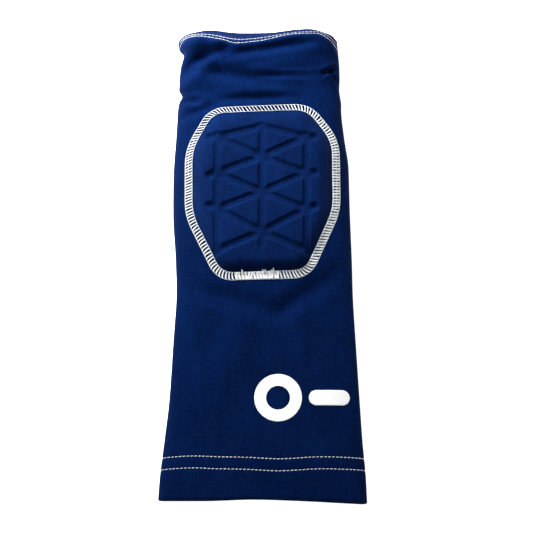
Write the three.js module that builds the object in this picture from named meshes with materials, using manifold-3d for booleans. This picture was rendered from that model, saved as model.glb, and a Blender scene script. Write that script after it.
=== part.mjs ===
// Padded elbow sleeve: a tapering tube of stretch knit, lying flat on its back with the moulded
// elbow pad on top. The pad fills a window in the cloth, and a flat seam of thread covers the joint.
// Millimetres, +Z up. +Y runs to the narrow forearm hem, +X to the right as seen from above.
// The origin is on the surface that the sleeve lies on, under the middle of its outline.
import * as THREE from "three";
import { mergeVertices } from "three/addons/utils/BufferGeometryUtils.js";
import Module from "manifold-3d";

// Sleeve
const sleeveLength = 288;
const upperArmWidth = 122;
const forearmWidth = 97;
const clothThickness = 1.0;
const upperArmHemDepth = 25.4;
const forearmHemDepth = 19;
const crownHeight = 28;
const sideFoldRadius = 6;
const foldWidth = 4.2;
const foldDepth = 2.5;
const endWave = 6;

// Pad and the seam around it
const padWidth = 88.5;
const padLength = 103;
const padCentreShare = 0.643; // of the sleeve's length, from the upper-arm hem
const padCornerRounding = 9;
const padEdgeThickness = 1.6;
const padRise = 6.2;
const padRamp = 11;
const grooveWidth = 4.6;
const grooveDepth = 1.3;
const latticeSpread = 26.5; // from the spine groove to each side groove
const latticeShift = -0.4; // the spine groove's place across the pad
const seamWidth = 4.4;
const seamThickness = 0.8;

// Generic print near the upper-arm hem: a ring with a bar beside it
const printThickness = 0.3;
const printFromHem = 36;
const printFromEdge = 6;
const printBarLength = 24;
const printBarWidth = 9;
const printRingDiameter = 28;
const printRingBand = 7;
const printSpacing = 4;

// Clearance between pieces that touch on the real sleeve
const gap = 0.3;

// Sections along the sleeve. at: share of the length from the upper-arm hem. left, right: shares of
// the tapering half width. crown: share of crownHeight. side: share of sideFoldRadius.
// square: how flat-topped the section is, from a round 2 to a boxy 7.
const sections = [
  { at: 0.0, left: 1.0, right: 1.002, crown: 0.37, side: 0.6, square: 6.5 },
  { at: 0.05, left: 0.995, right: 1.002, crown: 0.37, side: 0.6, square: 6.5 },
  { at: 0.13, left: 0.967, right: 0.987, crown: 0.377, side: 0.62, square: 6.2 },
  { at: 0.22, left: 0.938, right: 0.979, crown: 0.39, side: 0.66, square: 6 },
  { at: 0.33, left: 0.928, right: 0.97, crown: 0.43, side: 0.74, square: 5 },
  { at: 0.42, left: 0.918, right: 0.964, crown: 0.495, side: 0.84, square: 5 },
  { at: 0.5, left: 0.945, right: 0.972, crown: 0.57, side: 0.92, square: 5.5 },
  { at: 0.6, left: 1.0, right: 0.977, crown: 0.607, side: 1.0, square: 6 },
  { at: 0.7, left: 1.02, right: 0.988, crown: 0.616, side: 1.0, square: 6 },
  { at: 0.76, left: 1.013, right: 0.957, crown: 0.614, side: 1.0, square: 6 },
  { at: 0.82, left: 1.01, right: 0.936, crown: 0.607, side: 1.0, square: 5.5 },
  { at: 0.838, left: 1.0, right: 0.94, crown: 0.615, side: 1.0, square: 5 },
  { at: 0.853, left: 0.966, right: 0.93, crown: 0.632, side: 1.0, square: 4.8 },
  { at: 0.866, left: 1.008, right: 0.924, crown: 0.655, side: 1.05, square: 4.6 },
  { at: 0.89, left: 1.01, right: 0.935, crown: 0.712, side: 1.1, square: 4.4 },
  { at: 0.915, left: 1.0, right: 0.938, crown: 0.785, side: 1.15, square: 4.4 },
  { at: 0.938, left: 0.968, right: 0.932, crown: 0.855, side: 1.25, square: 4.6 },
  { at: 0.955, left: 1.035, right: 0.93, crown: 0.885, side: 1.5, square: 5 },
  { at: 0.97, left: 1.055, right: 0.932, crown: 0.76, side: 1.4, square: 4.6 },
  { at: 0.985, left: 1.045, right: 0.938, crown: 0.55, side: 1.0, square: 3.8 },
  { at: 1.0, left: 0.95, right: 0.853, crown: 0.37, side: 0.6, square: 3.2 },
];

// The forearm hem's edge as seen from above. across: from the left edge, -1, to the right edge, 1.
// back: how far the edge stands back from the sleeve's end, as a share of endWave.
const forearmEdge = [
  { across: -1.0, back: 1.1 },
  { across: -0.9, back: 0.42 },
  { across: -0.68, back: 0.16 },
  { across: -0.22, back: 0.56 },
  { across: 0.12, back: 0.5 },
  { across: 0.5, back: 0.12 },
  { across: 0.72, back: 0.0 },
  { across: 0.9, back: 0.42 },
  { across: 1.0, back: 1.2 },
];
const upperArmEdge = [
  { across: -1.0, back: 0.3 },
  { across: -0.6, back: 0.3 },
  { across: -0.1, back: 0.45 },
  { across: 0.4, back: 0.3 },
  { across: 0.8, back: 0.1 },
  { across: 1.0, back: 0.0 },
];

// The crumpled end's crest. across: from -1 to 1. later: how much further along the sleeve the crest
// lies there, as a share of the length.
const crestFrom = 0.9;
const crestLine = [
  { across: -1.0, later: 0.0 },
  { across: -0.86, later: 0.01 },
  { across: -0.62, later: 0.003 },
  { across: -0.28, later: -0.001 },
  { across: 0.0, later: 0.0025 },
  { across: 0.22, later: 0.0075 },
  { across: 0.46, later: 0.0105 },
  { across: 0.7, later: 0.0115 },
  { across: 0.85, later: 0.013 },
  { across: 1.0, later: 0.0 },
];

// Folds of the top cloth. at: share of the length. across: from -1 to 1. reach: half length as a
// share of the forearm width. width, depth: shares of foldWidth and foldDepth, and a negative depth
// is a ridge. turn: degrees.
const folds = [
  { name: "under_hem_crease", at: 0.942, across: 0.08, reach: 0.33, width: 0.75, depth: 1.1, turn: 9 },
  { name: "left_dent", at: 0.915, across: -0.83, reach: 0.15, width: 1.2, depth: 2.4, turn: 40 },
  { name: "left_dent_tail", at: 0.934, across: -0.62, reach: 0.13, width: 0.8, depth: 1, turn: 16 },
  { name: "left_shoulder", at: 0.957, across: -0.74, reach: 0.17, width: 1.5, depth: -0.8, turn: 0 },
  { name: "right_shoulder", at: 0.964, across: 0.62, reach: 0.24, width: 1.3, depth: -0.7, turn: 4 },
  { name: "upper_left_wave", at: 0.888, across: -0.38, reach: 0.24, width: 0.9, depth: 0.7, turn: -8 },
  { name: "right_tuck", at: 0.9, across: 0.83, reach: 0.1, width: 0.6, depth: 1.5, turn: 24 },
  { name: "right_tuck_tail", at: 0.885, across: 0.94, reach: 0.07, width: 0.6, depth: 1.2, turn: -58 },
  { name: "above_pad_crease", at: 0.84, across: -0.04, reach: 0.22, width: 0.8, depth: 0.5, turn: 2 },
  { name: "notch_crease", at: 0.838, across: -0.9, reach: 0.1, width: 0.8, depth: 0.9, turn: -8 },
  { name: "pad_corner_drape", at: 0.81, across: -0.78, reach: 0.13, width: 1, depth: 0.3, turn: 20 },
  { name: "under_pad_left", at: 0.415, across: -0.35, reach: 0.3, width: 1.4, depth: 0.5, turn: -16 },
  { name: "under_pad_right", at: 0.43, across: 0.5, reach: 0.28, width: 1.4, depth: 0.7, turn: 35 },
];

// Corners of the seam's centre line, anticlockwise, as shares of the pad's half width and length.
const padCorners = [
  { name: "top_left", x: -0.692, y: 0.949 },
  { name: "left_upper", x: -0.998, y: 0.485 },
  { name: "left_lower", x: -0.993, y: -0.292 },
  { name: "bottom_left", x: -0.58, y: -1.018 },
  { name: "bottom_right", x: 0.603, y: -0.987 },
  { name: "right_lower", x: 0.997, y: -0.238 },
  { name: "right_upper", x: 0.988, y: 0.596 },
  { name: "top_right", x: 0.623, y: 0.994 },
];

// Rows of the groove lattice, as shares of the pad's half length: where the slanting grooves meet
// the side grooves, and where they meet the spine groove below that row. leftNub, rightNub: how far
// the short groove outside each side groove climbs, as a share of its length.
const latticeRows = [
  { side: 0.602, spine: 0.369, leftNub: 0.1, rightNub: 0 },
  { side: 0.177, spine: -0.048, leftNub: -0.7, rightNub: 0 },
  { side: -0.25, spine: -0.52, leftNub: 0.5, rightNub: 0.3 },
  { side: -0.737, spine: -0.76 },
];
const latticeTop = 0.728;
const nubLength = 8;

const wasm = await Module();
wasm.setup();

const clamp = (value, low, high) => Math.min(high, Math.max(low, value));

// A smooth curve through a table's column that never overshoots its rows.
function curveThrough(rows, place, column) {
  const at = rows.map((row) => row[place]);
  const value = rows.map((row) => row[column]);
  const steps = at.slice(1).map((x, i) => (value[i + 1] - value[i]) / (x - at[i]));
  const slopes = value.map((_, i) => {
    const before = steps[Math.max(0, i - 1)];
    const after = steps[Math.min(steps.length - 1, i)];
    return before * after <= 0 ? 0 : (2 * before * after) / (before + after);
  });
  return (x) => {
    const inside = clamp(x, at[0], at[at.length - 1]);
    let i = 0;
    while (i < steps.length - 1 && inside > at[i + 1]) i += 1;
    const span = at[i + 1] - at[i];
    const t = (inside - at[i]) / span;
    const u = 1 - t;
    const ends = value[i] * u * u * (1 + 2 * t) + value[i + 1] * t * t * (1 + 2 * u);
    return ends + span * t * u * (slopes[i] * u - slopes[i + 1] * t);
  };
}

const leftShare = curveThrough(sections, "at", "left");
const rightShare = curveThrough(sections, "at", "right");
const crownShare = curveThrough(sections, "at", "crown");
const sideShare = curveThrough(sections, "at", "side");
const squareness = curveThrough(sections, "at", "square");
const forearmBack = curveThrough(forearmEdge, "across", "back");
const upperArmBack = curveThrough(upperArmEdge, "across", "back");
const crestLater = curveThrough(crestLine, "across", "later");

// Left and right edge of the sleeve, as seen from above.
function edgesAt(y) {
  const at = clamp(y / sleeveLength + 0.5, 0, 1);
  const half = THREE.MathUtils.lerp(upperArmWidth, forearmWidth, at) / 2;
  return { left: -half * leftShare(at), right: half * rightShare(at) };
}

const endY = (across) => sleeveLength / 2 - endWave * forearmBack(across);
const startY = (across) => -sleeveLength / 2 + endWave * upperArmBack(across);

// Where a point seen from above lies on the cloth: across from -1 to 1, along from 0 to 1.
function clothPlace(x, y) {
  const { left, right } = edgesAt(y);
  const across = clamp((2 * x - left - right) / (right - left), -1, 1);
  const along = clamp((y - startY(across)) / (endY(across) - startY(across)), 0, 1);
  return { across, along };
}

// Each fold is a valley with a soft ridge on either side, fading out along its reach.
function foldsAt(x, y, across) {
  let height = 0;
  for (const fold of folds) {
    const foldY = (fold.at - 0.5) * sleeveLength;
    const { left, right } = edgesAt(foldY);
    const dx = x - (left + right) / 2 - (fold.across * (right - left)) / 2;
    const dy = y - foldY;
    const angle = THREE.MathUtils.degToRad(fold.turn);
    const onLine = (dx * Math.cos(angle) + dy * Math.sin(angle)) / (fold.reach * forearmWidth);
    const off = (dy * Math.cos(angle) - dx * Math.sin(angle)) / (fold.width * foldWidth);
    const ridges = Math.exp(-((off - 1.8) ** 2)) + Math.exp(-((off + 1.8) ** 2));
    const profile = 0.4 * ridges - Math.exp(-off * off);
    height += fold.depth * foldDepth * profile * Math.exp(-(onLine ** 4));
  }
  return height * Math.sqrt(1 - across * across);
}

// The share of the length whose section is found here: past crestFrom the crest comes later.
function crestPlace(across, along) {
  const share = THREE.MathUtils.clamp((along - crestFrom) / (1 - crestFrom), 0, 1);
  return along - crestLater(across) * 4 * share * (1 - share);
}

const sideRadius = (along) => sideFoldRadius * sideShare(along);

// Height of the top cloth's outer face.
function clothTop(x, y) {
  const { across, along } = clothPlace(x, y);
  const side = sideRadius(along);
  const place = crestPlace(across, along);
  const rise = Math.sqrt(Math.max(0, 1 - Math.abs(across) ** squareness(place)));
  return side + (crownHeight * crownShare(place) - side) * rise + foldsAt(x, y, across);
}

// A row of stations around the sleeve: top cloth left to right, right fold, back, left fold.
const topSteps = 28;
const foldSteps = 3;
const backSteps = 8;
function stationsAround() {
  const stations = [];
  for (let i = 0; i <= topSteps; i += 1) {
    stations.push({ layer: "top", across: Math.sin((Math.PI / 2) * ((2 * i) / topSteps - 1)) });
  }
  for (let i = 1; i <= foldSteps; i += 1) {
    stations.push({ layer: "rightFold", turn: (Math.PI / 2) * (i / foldSteps) });
  }
  for (let i = 1; i < backSteps; i += 1) {
    stations.push({ layer: "back", share: Math.sin((Math.PI / 2) * (1 - (2 * i) / backSteps)) });
  }
  for (let i = foldSteps; i > 0; i -= 1) {
    stations.push({ layer: "leftFold", turn: (Math.PI / 2) * (i / foldSteps) });
  }
  return stations;
}

// The point of the outer face at a station and a share of the length.
function outerPoint(station, along) {
  const sideways = { top: station.across, rightFold: 1, leftFold: -1, back: station.share };
  const across = sideways[station.layer];
  const y = THREE.MathUtils.lerp(startY(across), endY(across), along);
  const { left, right } = edgesAt(y);
  const side = sideRadius(along);
  const middle = (left + right) / 2;
  const half = (right - left) / 2;
  if (station.layer === "top") {
    const x = middle + across * half;
    return new THREE.Vector3(x, y, clothTop(x, y));
  }
  if (station.layer === "back") return new THREE.Vector3(middle + across * (half - side), y, 0);
  const inward = side * (1 - Math.cos(station.turn));
  return new THREE.Vector3(middle + across * (half - inward), y, side * (1 - Math.sin(station.turn)));
}

// Runs of vertex rings along the sleeve, closer together where the cloth is folded.
const ringRuns = [
  { name: "plain_cloth", to: 0.37, rings: 5 },
  { name: "under_pad_folds", to: 0.47, rings: 6 },
  { name: "beside_pad", to: 0.81, rings: 8 },
  { name: "crumpled_end", to: 1.0, rings: 18 },
];
function ringShares() {
  const hem = upperArmHemDepth / sleeveLength;
  const hemStep = clothThickness / sleeveLength;
  const shares = [0, hem / 2, hem - hemStep, hem];
  for (const { to, rings } of ringRuns) {
    const from = shares[shares.length - 1];
    for (let i = 1; i <= rings; i += 1) shares.push(THREE.MathUtils.lerp(from, to, i / rings));
  }
  return shares;
}

// Height of the sleeve's faceted top at a point: the four nearest vertices, blended.
const ringPlaces = ringShares();
const topAcross = stationsAround().filter(({ layer }) => layer === "top").map(({ across }) => across);
function clothFacets(x, y) {
  const { across, along } = clothPlace(x, y);
  const cell = (values, value) => {
    let i = 0;
    while (i < values.length - 2 && value > values[i + 1]) i += 1;
    return { i, share: (value - values[i]) / (values[i + 1] - values[i]) };
  };
  const row = cell(ringPlaces, along);
  const column = cell(topAcross, across);
  const heightOf = (ring, station) =>
    outerPoint({ layer: "top", across: topAcross[station] }, ringPlaces[ring]).z;
  const onRing = (ring) =>
    THREE.MathUtils.lerp(heightOf(ring, column.i), heightOf(ring, column.i + 1), column.share);
  return THREE.MathUtils.lerp(onRing(row.i), onRing(row.i + 1), row.share);
}

// Turns loops of points, each loop a closed ring, into a closed solid by joining each to the next
// and the last to the first.
function solidFromLoops(loops) {
  const count = loops[0].length;
  const positions = loops.flat().flatMap((point) => point.toArray());
  const index = [];
  loops.forEach((_, row) => {
    const next = (row + 1) % loops.length;
    for (let i = 0; i < count; i += 1) {
      const j = (i + 1) % count;
      const corners = [row * count + i, row * count + j, next * count + j, next * count + i];
      index.push(corners[0], corners[1], corners[2], corners[0], corners[2], corners[3]);
    }
  });
  return manifoldFrom(positions, index);
}

// A solid from shared vertices, turned inside out if its faces point inwards.
function manifoldFrom(positions, index) {
  const build = (triangles) =>
    new wasm.Manifold(
      new wasm.Mesh({
        numProp: 3,
        vertProperties: Float32Array.from(positions),
        triVerts: Uint32Array.from(triangles),
      }),
    );
  const solid = build(index);
  if (solid.volume() > 0) return solid;
  const turned = [];
  for (let i = 0; i < index.length; i += 3) turned.push(index[i], index[i + 2], index[i + 1]);
  return build(turned);
}

function solidFromGeometry(geometry) {
  const bare = geometry.clone();
  bare.deleteAttribute("normal");
  bare.deleteAttribute("uv");
  const merged = mergeVertices(bare, 1e-4);
  return manifoldFrom(merged.attributes.position.array, merged.index.array);
}

function meshOf(name, solid, material) {
  const { vertProperties, triVerts } = solid.getMesh();
  const geometry = new THREE.BufferGeometry();
  geometry.setAttribute("position", new THREE.BufferAttribute(Float32Array.from(vertProperties), 3));
  geometry.setIndex(new THREE.BufferAttribute(Uint32Array.from(triVerts), 1));
  geometry.computeVertexNormals();
  const mesh = new THREE.Mesh(geometry, material);
  mesh.name = name;
  return mesh;
}

// The sleeve's cloth: an outer and an inner face, twice as thick where the hems are turned in.
function sleeveCloth() {
  const stations = stationsAround();
  const outer = ringPlaces.map((along) => stations.map((station) => outerPoint(station, along)));
  const fromStart = outer.map((loop) => loop.map(() => 0));
  for (let row = 1; row < outer.length; row += 1) {
    outer[row].forEach((point, i) => {
      fromStart[row][i] = fromStart[row - 1][i] + point.distanceTo(outer[row - 1][i]);
    });
  }
  const inner = outer.map((loop, row) =>
    loop.map((point, i) => {
      const after = loop[(i + 1) % loop.length];
      const before = loop[(i + loop.length - 1) % loop.length];
      const ahead = outer[Math.min(row + 1, outer.length - 1)][i];
      const behind = outer[Math.max(row - 1, 0)][i];
      const around = new THREE.Vector3().subVectors(after, before);
      const lengthwise = new THREE.Vector3().subVectors(ahead, behind);
      const outward = new THREE.Vector3().crossVectors(around, lengthwise).normalize();
      const fromEnd = fromStart[outer.length - 1][i] - fromStart[row][i];
      const start = fromStart[row][i] < upperArmHemDepth - clothThickness / 2;
      const inHem = start || fromEnd < forearmHemDepth;
      return point.clone().addScaledVector(outward, -clothThickness * (inHem ? 2 : 1));
    }),
  );
  return solidFromLoops([...outer, ...inner.reverse()]);
}

// The seam's centre line: the corner table joined by straight lines, with each corner rounded.
const outlineSteps = 72;
const padCentreY = (padCentreShare - 0.5) * sleeveLength;
function seamLine() {
  const corners = padCorners.map(
    ({ x, y }) => new THREE.Vector2((x * padWidth) / 2, padCentreY + (y * padLength) / 2),
  );
  const path = new THREE.Path();
  corners.forEach((corner, i) => {
    const before = corners[(i + corners.length - 1) % corners.length];
    const after = corners[(i + 1) % corners.length];
    const reachTo = (other) => Math.min(padCornerRounding, corner.distanceTo(other) / 2);
    const towards = (other) =>
      other.clone().sub(corner).setLength(reachTo(other)).add(corner);
    const enter = towards(before);
    const leave = towards(after);
    if (i === 0) path.moveTo(enter.x, enter.y);
    else path.lineTo(enter.x, enter.y);
    path.quadraticCurveTo(corner.x, corner.y, leave.x, leave.y);
  });
  path.closePath();
  return path.getSpacedPoints(outlineSteps).slice(0, outlineSteps);
}
const seamCentre = seamLine();

// The seam line moved outwards, or inwards if the distance is negative.
function seamOffset(distance) {
  return seamCentre.map((point, i) => {
    const after = seamCentre[(i + 1) % outlineSteps];
    const before = seamCentre[(i + outlineSteps - 1) % outlineSteps];
    const along = after.clone().sub(before).normalize();
    return new THREE.Vector2(point.x + along.y * distance, point.y - along.x * distance);
  });
}

// Distance from a point inside the seam to the seam's centre line.
function distanceToSeam(x, y) {
  const point = new THREE.Vector3(x, y, 0);
  const nearest = new THREE.Vector3();
  return Math.min(
    ...seamCentre.map((from, i) => {
      const to = seamCentre[(i + 1) % outlineSteps];
      const line = new THREE.Line3(
        new THREE.Vector3(from.x, from.y, 0),
        new THREE.Vector3(to.x, to.y, 0),
      );
      return line.closestPointToPoint(point, true, nearest).distanceTo(point);
    }),
  );
}

function padTop(x, y) {
  const inFromSeam = distanceToSeam(x, y) - seamWidth / 2 - gap;
  const share = clamp(inFromSeam / padRamp, 0, 1);
  const cloth = THREE.MathUtils.lerp(clothFacets(x, y), clothTop(x, y), share);
  return cloth + padRise * (1 - (1 - share) ** 2.4);
}

// The window for the pad: a prism through the top cloth only, starting above the back cloth.
const windowFloor = 3 * clothThickness;
function windowCutter() {
  const outline = new THREE.Shape(seamOffset(gap / 2));
  const prism = new THREE.ExtrudeGeometry(outline, { depth: 2 * crownHeight, bevelEnabled: false });
  prism.translate(0, 0, windowFloor);
  return solidFromGeometry(prism);
}

// The pad before its grooves are pressed in: rings of points from the middle out to the shoulder
// where the pad meets the seam, then a flat rim under the seam.
function padBlank() {
  const rim = seamOffset(-gap / 2);
  const shoulder = seamOffset(-gap - seamWidth / 2);
  const centre = new THREE.Vector2(0, padCentreY);
  const scaled = (share) => shoulder.map((point) => centre.clone().lerp(point, share));
  const topRings = [...[0.4, 0.72, 0.83, 0.92, 1].map(scaled), rim];
  const underRings = [...[0.4, 0.8].map(scaled), rim];
  const positions = [];
  const index = [];
  const addFace = (rings, heightAt) => {
    const first = positions.length / 3;
    for (const { x, y } of [centre, ...rings.flat()]) positions.push(x, y, heightAt(x, y));
    return first;
  };
  const top = addFace(topRings, padTop);
  const under = addFace(underRings, (x, y) => clothFacets(x, y) - padEdgeThickness);
  const ringStart = (face, ring) => face + 1 + ring * outlineSteps;
  const quad = (a, b, c, d) => index.push(a, b, c, a, c, d);
  for (let i = 0; i < outlineSteps; i += 1) {
    const j = (i + 1) % outlineSteps;
    index.push(top, ringStart(top, 0) + i, ringStart(top, 0) + j);
    index.push(under, ringStart(under, 0) + j, ringStart(under, 0) + i);
    for (let ring = 1; ring < topRings.length; ring += 1) {
      const [inner, outer] = [ringStart(top, ring - 1), ringStart(top, ring)];
      quad(inner + i, outer + i, outer + j, inner + j);
    }
    for (let ring = 1; ring < underRings.length; ring += 1) {
      const [inner, outer] = [ringStart(under, ring - 1), ringStart(under, ring)];
      quad(inner + j, outer + j, outer + i, inner + i);
    }
    const edge = ringStart(top, topRings.length - 1);
    const edgeUnder = ringStart(under, underRings.length - 1);
    quad(edge + i, edgeUnder + i, edgeUnder + j, edge + j);
  }
  return manifoldFrom(positions, index);
}

// A cutter for one groove: a channel with sloping sides that follows the pad's top.
const grooveStep = 13;
function grooveCutter([from, to]) {
  const steps = Math.ceil(from.distanceTo(to) / grooveStep);
  const sideways = new THREE.Vector2(from.y - to.y, to.x - from.x).setLength(grooveWidth / 2);
  const lip = sideways.clone().multiplyScalar(1.4);
  const floor = sideways.clone().multiplyScalar(0.6);
  const loops = [];
  for (let i = 0; i <= steps; i += 1) {
    const { x, y } = from.clone().lerp(to, i / steps);
    const height = padTop(x, y);
    loops.push([
      new THREE.Vector3(x - lip.x, y - lip.y, height + grooveDepth),
      new THREE.Vector3(x - floor.x, y - floor.y, height - grooveDepth),
      new THREE.Vector3(x + floor.x, y + floor.y, height - grooveDepth),
      new THREE.Vector3(x + lip.x, y + lip.y, height + grooveDepth),
    ]);
  }
  return closedTube(loops);
}

// A solid from loops, with a flat face at each end. That face fans out from the loop's second
// point, because the first three may lie in one line.
function closedTube(loops) {
  const positions = loops.flat().flatMap((point) => point.toArray());
  const count = loops[0].length;
  const index = [];
  for (let row = 0; row < loops.length - 1; row += 1) {
    for (let i = 0; i < count; i += 1) {
      const [a, b] = [row * count + i, row * count + ((i + 1) % count)];
      index.push(a, b, b + count, a, b + count, a + count);
    }
  }
  const last = (loops.length - 1) * count;
  for (let i = 2; i < count; i += 1) {
    const j = (i + 1) % count;
    index.push(1, j, i, last + 1, last + i, last + j);
  }
  return manifoldFrom(positions, index);
}

// The ends of every groove: a spine, two side grooves, slanting grooves between them, short nubs.
function grooveLines() {
  const place = (x, share) => new THREE.Vector2(x, padCentreY + (share * padLength) / 2);
  const spineAt = (share) => place(latticeShift, share);
  const lastRow = latticeRows[latticeRows.length - 1];
  const lines = [[spineAt(latticeTop), spineAt(lastRow.spine)]];
  for (const side of [-1, 1]) {
    const sideX = latticeShift + side * latticeSpread;
    lines.push([place(sideX, latticeRows[0].side), place(sideX, lastRow.side)]);
    latticeRows.forEach((row, i) => {
      const node = place(sideX, row.side);
      const above = i === 0 ? latticeTop : latticeRows[i - 1].spine;
      lines.push([spineAt(above), node]);
      if (row === lastRow) return;
      lines.push([node, spineAt(row.spine)]);
      const climb = nubLength * (side < 0 ? row.leftNub : row.rightNub);
      lines.push([node, new THREE.Vector2(node.x + side * nubLength, node.y + climb)]);
    });
  }
  return lines;
}

function elbowPad() {
  const grooves = wasm.Manifold.union(grooveLines().map(grooveCutter));
  return padBlank().subtract(grooves).simplify(clothThickness / 40);
}

// The flat seam: a band of thread lying over the joint between the pad and the cloth.
function padSeam() {
  const edges = [-1, -0.8, 0.8, 1].map((share) => ({
    points: seamOffset((share * seamWidth) / 2),
    lift: gap + seamThickness * (Math.abs(share) === 1 ? 0.4 : 1),
  }));
  const loops = seamCentre.map((_, i) => {
    const raised = edges.map(({ points, lift }) => {
      const { x, y } = points[i];
      return new THREE.Vector3(x, y, clothFacets(x, y) + lift);
    });
    const resting = [edges[3].points, seamCentre, edges[0].points].map((points) => {
      const { x, y } = points[i];
      return new THREE.Vector3(x, y, clothFacets(x, y) + gap);
    });
    return [...raised, ...resting];
  });
  return solidFromLoops(loops);
}

// A flat printed shape laid on the cloth, from the two plan points at the ends of each row.
const printShares = [0, 0.5, 1];
function printFilm(rows) {
  return rows.map(([from, to]) => {
    const points = printShares.map((share) => from.clone().lerp(to, share));
    const lifted = (lift) =>
      points.map(({ x, y }) => new THREE.Vector3(x, y, clothFacets(x, y) + gap + lift));
    return [...lifted(printThickness), ...lifted(0).reverse()];
  });
}

// The print's middle line, and the right end of its bar, set in from the sleeve's right edge.
const printY = -sleeveLength / 2 + upperArmHemDepth + printFromHem;
const printRightX = edgesAt(printY).right - printFromEdge;

function printBar() {
  const steps = 14;
  const halfWidth = printBarWidth / 2;
  const halfLength = printBarLength / 2;
  const rows = [];
  for (let i = 0; i <= steps; i += 1) {
    const x = -halfLength * Math.cos((Math.PI * i) / steps);
    const pastStraight = Math.max(0, Math.abs(x) - (halfLength - halfWidth));
    const half = Math.max(printThickness, Math.sqrt(Math.max(0, halfWidth ** 2 - pastStraight ** 2)));
    const centreX = printRightX - halfLength + x;
    rows.push([new THREE.Vector2(centreX, printY - half), new THREE.Vector2(centreX, printY + half)]);
  }
  return closedTube(printFilm(rows));
}

function printRing() {
  const steps = 32;
  const radius = printRingDiameter / 2;
  const centreX = printRightX - printBarLength - printSpacing - radius;
  const rows = [];
  for (let i = 0; i < steps; i += 1) {
    const angle = (2 * Math.PI * i) / steps;
    const at = (reach) =>
      new THREE.Vector2(centreX + reach * Math.cos(angle), printY + reach * Math.sin(angle));
    rows.push([at(radius - printRingBand), at(radius)]);
  }
  return solidFromLoops(printFilm(rows));
}

const navyKnit = new THREE.MeshStandardMaterial({ color: 0x0b2658, roughness: 0.75, metalness: 0 });
const padKnit = new THREE.MeshStandardMaterial({ color: 0x0d2b62, roughness: 0.7, metalness: 0 });
const whiteThread = new THREE.MeshStandardMaterial({ color: 0xf1f1ee, roughness: 0.6, metalness: 0 });
const whiteFilm = new THREE.MeshStandardMaterial({ color: 0xfafafa, roughness: 0.4, metalness: 0 });

const sleeve = new THREE.Group();
sleeve.add(meshOf("sleeve", sleeveCloth().subtract(windowCutter()), navyKnit));
sleeve.add(meshOf("elbow_pad", elbowPad(), padKnit));
sleeve.add(meshOf("pad_seam", padSeam(), whiteThread));
sleeve.add(meshOf("print_ring", printRing(), whiteFilm));
sleeve.add(meshOf("print_bar", printBar(), whiteFilm));

export default sleeve;
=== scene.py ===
import bpy
import numpy as np
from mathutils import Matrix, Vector


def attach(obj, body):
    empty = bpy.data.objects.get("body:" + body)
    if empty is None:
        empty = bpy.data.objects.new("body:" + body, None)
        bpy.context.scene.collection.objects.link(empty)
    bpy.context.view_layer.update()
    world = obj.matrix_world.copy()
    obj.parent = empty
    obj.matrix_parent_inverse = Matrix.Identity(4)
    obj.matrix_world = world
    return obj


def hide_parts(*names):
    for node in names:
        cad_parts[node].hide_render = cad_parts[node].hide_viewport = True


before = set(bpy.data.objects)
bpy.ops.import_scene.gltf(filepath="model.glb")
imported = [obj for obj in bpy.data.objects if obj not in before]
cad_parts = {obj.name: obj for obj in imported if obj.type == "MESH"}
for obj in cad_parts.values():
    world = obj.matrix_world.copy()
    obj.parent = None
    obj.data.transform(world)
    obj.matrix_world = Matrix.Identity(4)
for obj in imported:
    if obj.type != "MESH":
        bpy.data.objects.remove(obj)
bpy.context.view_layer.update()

scene = bpy.context.scene
toMetres = 0.001


# Camera, light and floor

shot = {
    "target": (2.35, -3.5, 8.0),
    "elevation": 78.0,
    "distance": 1300.0,
    "lens": 147.8,
}

lights = {
    "keyFromUpperLeft": {"place": (-160, 265, 250), "aim": (0, 30, 0), "size": 180, "watts": 3.9},
    "fillFromRight": {"place": (620, -60, 560), "aim": (0, 0, 0), "size": 700, "watts": 0.5},
}
worldLight = {"colour": (1.0, 1.0, 1.0), "strength": 0.24}
floorLook = {"size": 9000, "drop": 0.4, "colour": (0.93, 0.93, 0.93), "roughness": 0.9, "glow": 0.96}


def lookFrom(thing, place, target):
    away = Vector(place) - Vector(target)
    thing.location = Vector(place) * toMetres
    thing.rotation_euler = away.to_track_quat("Z", "Y").to_euler()


def addCamera():
    angle = np.radians(shot["elevation"])
    target = np.array(shot["target"])
    place = target + shot["distance"] * np.array([0, -np.cos(angle), np.sin(angle)])
    data = bpy.data.cameras.new("camera")
    data.lens = shot["lens"]
    camera = bpy.data.objects.new("camera", data)
    lookFrom(camera, place, target)
    scene.collection.objects.link(camera)
    scene.camera = camera


def addLights():
    for name, spec in lights.items():
        data = bpy.data.lights.new(name, "AREA")
        data.size = spec["size"] * toMetres
        data.energy = spec["watts"]
        lamp = bpy.data.objects.new(name, data)
        lookFrom(lamp, spec["place"], spec["aim"])
        scene.collection.objects.link(lamp)
    world = bpy.data.worlds.new("studio")
    world.use_nodes = True
    background = world.node_tree.nodes["Background"]
    background.inputs["Color"].default_value = (*worldLight["colour"], 1)
    background.inputs["Strength"].default_value = worldLight["strength"]
    scene.world = world
    scene.view_settings.view_transform = "Standard"


def addFloor():
    reach = floorLook["size"] / 2 * toMetres
    drop = -floorLook["drop"] * toMetres
    corners = [(-reach, -reach, drop), (reach, -reach, drop), (reach, reach, drop), (-reach, reach, drop)]
    mesh = bpy.data.meshes.new("floor")
    mesh.from_pydata(corners, [], [(0, 1, 2, 3)])
    floor = bpy.data.objects.new("floor", mesh)
    material = newMaterial("paleFloor", {
        "Base Color": floorLook["colour"], "Roughness": floorLook["roughness"],
        "Emission Color": (1, 1, 1), "Emission Strength": floorLook["glow"],
    })[0]
    mesh.materials.append(material)
    scene.collection.objects.link(floor)


# Materials. The patterns read each piece's own map, which is in millimetres.

def newMaterial(name, sockets):
    material = bpy.data.materials.new(name)
    material.use_nodes = True
    shader = material.node_tree.nodes["Principled BSDF"]
    for label, value in sockets.items():
        shader.inputs[label].default_value = (*value, 1) if isinstance(value, tuple) else value
    return material, shader, material.node_tree


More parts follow.
